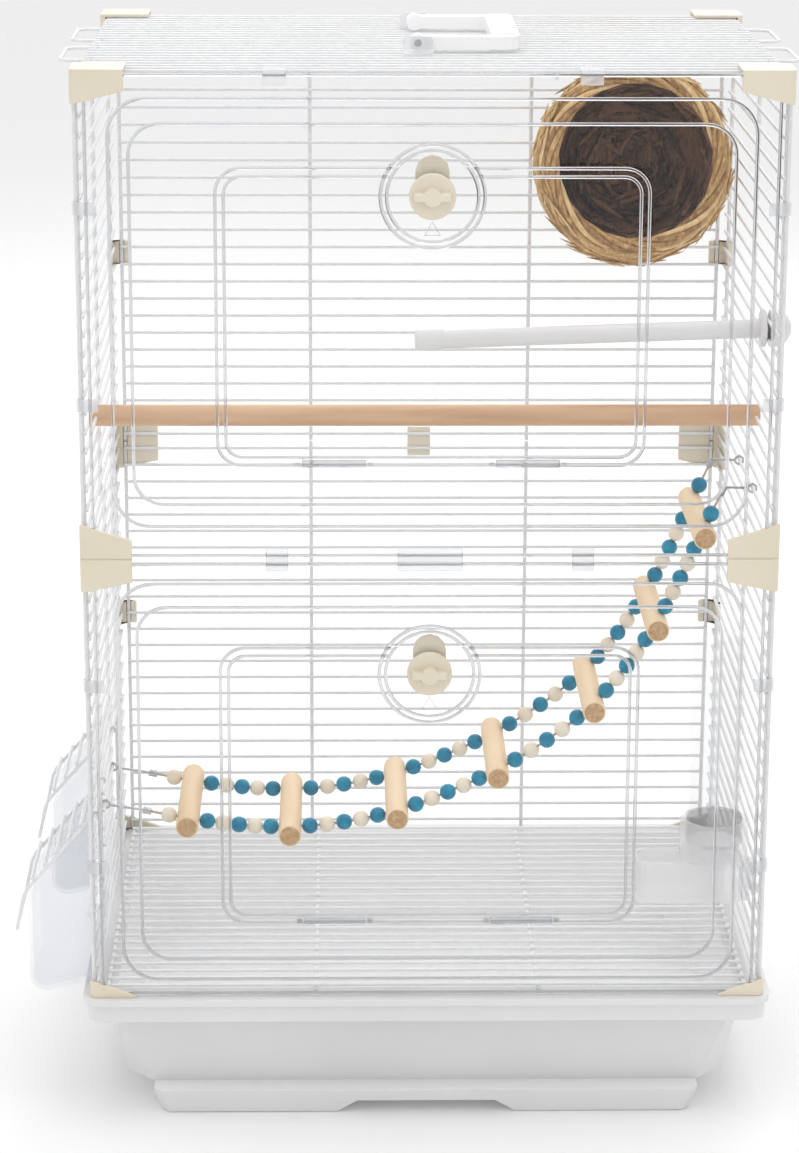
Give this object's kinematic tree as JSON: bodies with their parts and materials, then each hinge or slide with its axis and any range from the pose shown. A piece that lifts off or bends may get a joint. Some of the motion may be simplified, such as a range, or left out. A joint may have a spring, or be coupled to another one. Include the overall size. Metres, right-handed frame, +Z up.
{
  "type": "bird cage",
  "caption": "Two-storey wire bird cage on a plastic tray, with clear front panels, drop-down latched doors, perches, a straw nest, a bead ladder and feeders.",
  "frame": {"origin": "centre of the tray's standing ring, on the floor", "axes": "+Z up, +Y from the front panels to the back wall, +X to the right seen from the front"},
  "size_m": [0.4275, 0.2807, 0.598],
  "materials": {
    "white_plastic": "moulded, satin",
    "white_wire": "white coated wire",
    "clear_plastic": "clear, glossy",
    "ivory_plastic": "moulded, satin",
    "beech": "sanded",
    "pale_wood": "sanded",
    "blue_wood": "stained, satin",
    "straw": "woven straw",
    "string": "twisted",
    "steel": "bright wire"
  },
  "bodies": {
    "base": {"base_tray": "white_plastic", "floor_grille": "white_wire"},
    "cage": {"roof_panel": "white_wire", "back_panel_upper": "white_wire", "back_panel_lower": "white_wire", "left_panel_upper": "white_wire", "left_panel_lower": "white_wire", "right_panel_upper": "white_wire", "right_panel_lower": "white_wire", "front_panel_upper": "clear_plastic", "front_panel_lower": "clear_plastic", "rear_corner_clips": "ivory_plastic", "rear_seam_clip": "ivory_plastic", "panel_seam_clips": "clear_plastic", "panel_top_clips": "clear_plastic", "panel_edge_clips": "clear_plastic", "handle_brackets": "clear_plastic", "wood_perch": "beech", "plastic_perch": "white_plastic", "perch_nut": "white_plastic", "nest": "straw", "nest_hooks": "steel", "ladder_rungs": "pale_wood", "ladder_beads_blue": "blue_wood", "ladder_beads_natural": "pale_wood", "ladder_string_front": "string", "ladder_string_rear": "string", "ladder_hooks": "steel", "water_bottle": "clear_plastic", "water_collar": "clear_plastic", "water_trough": "clear_plastic", "water_bracket": "clear_plastic", "near_feeder": "clear_plastic", "far_feeder": "clear_plastic", "top_cap_front_left": "ivory_plastic", "connector_front_left": "ivory_plastic", "bottom_wedge_front_left": "ivory_plastic", "top_cap_front_right": "ivory_plastic", "connector_front_right": "ivory_plastic", "bottom_wedge_front_right": "ivory_plastic", "top_cap_rear_left": "ivory_plastic", "connector_rear_left": "ivory_plastic", "bottom_wedge_rear_left": "ivory_plastic", "top_cap_rear_right": "ivory_plastic", "connector_rear_right": "ivory_plastic", "bottom_wedge_rear_right": "ivory_plastic"},
    "upper_door": {"upper_door": "clear_plastic"},
    "lower_door": {"lower_door": "clear_plastic"},
    "upper_knob": {"upper_knob": "ivory_plastic", "upper_latch_tongue": "ivory_plastic"},
    "lower_knob": {"lower_knob": "ivory_plastic", "lower_latch_tongue": "ivory_plastic"},
    "handle": {"carry_handle": "white_plastic"},
    "near_flap": {"near_feeder_flap": "white_wire"},
    "far_flap": {"far_feeder_flap": "white_wire"}
  },
  "joints": [
    {"name": "cage_lift", "type": "slide", "parent": "base", "child": "cage", "axis": [0, 0, 1], "range_m": [0, 0.1]},
    {"name": "upper_door_hinge", "type": "hinge", "parent": "cage", "child": "upper_door", "pos_m": [0, -0.1357, 0.3815], "axis": [1, 0, 0], "range_deg": [0, 100]},
    {"name": "upper_knob_turn", "type": "hinge", "parent": "upper_door", "child": "upper_knob", "pos_m": [0, -0.1329, 0.5242], "axis": [0, -1, 0], "range_deg": [0, 90]},
    {"name": "lower_door_hinge", "type": "hinge", "parent": "cage", "child": "lower_door", "pos_m": [0, -0.1357, 0.1215], "axis": [1, 0, 0], "range_deg": [0, 100]},
    {"name": "lower_knob_turn", "type": "hinge", "parent": "lower_door", "child": "lower_knob", "pos_m": [0, -0.1329, 0.2642], "axis": [0, -1, 0], "range_deg": [0, 90]},
    {"name": "handle_swing", "type": "hinge", "parent": "cage", "child": "handle", "pos_m": [-0.006, 0, 0.5932], "axis": [0, -1, 0], "range_deg": [0, 90]},
    {"name": "near_flap_hinge", "type": "hinge", "parent": "cage", "child": "near_flap", "pos_m": [-0.1835, -0.086, 0.177], "axis": [0, 1, 0], "range_deg": [0, 115]},
    {"name": "far_flap_hinge", "type": "hinge", "parent": "cage", "child": "far_flap", "pos_m": [-0.1835, 0.06, 0.177], "axis": [0, 1, 0], "range_deg": [0, 115]}
  ]
}
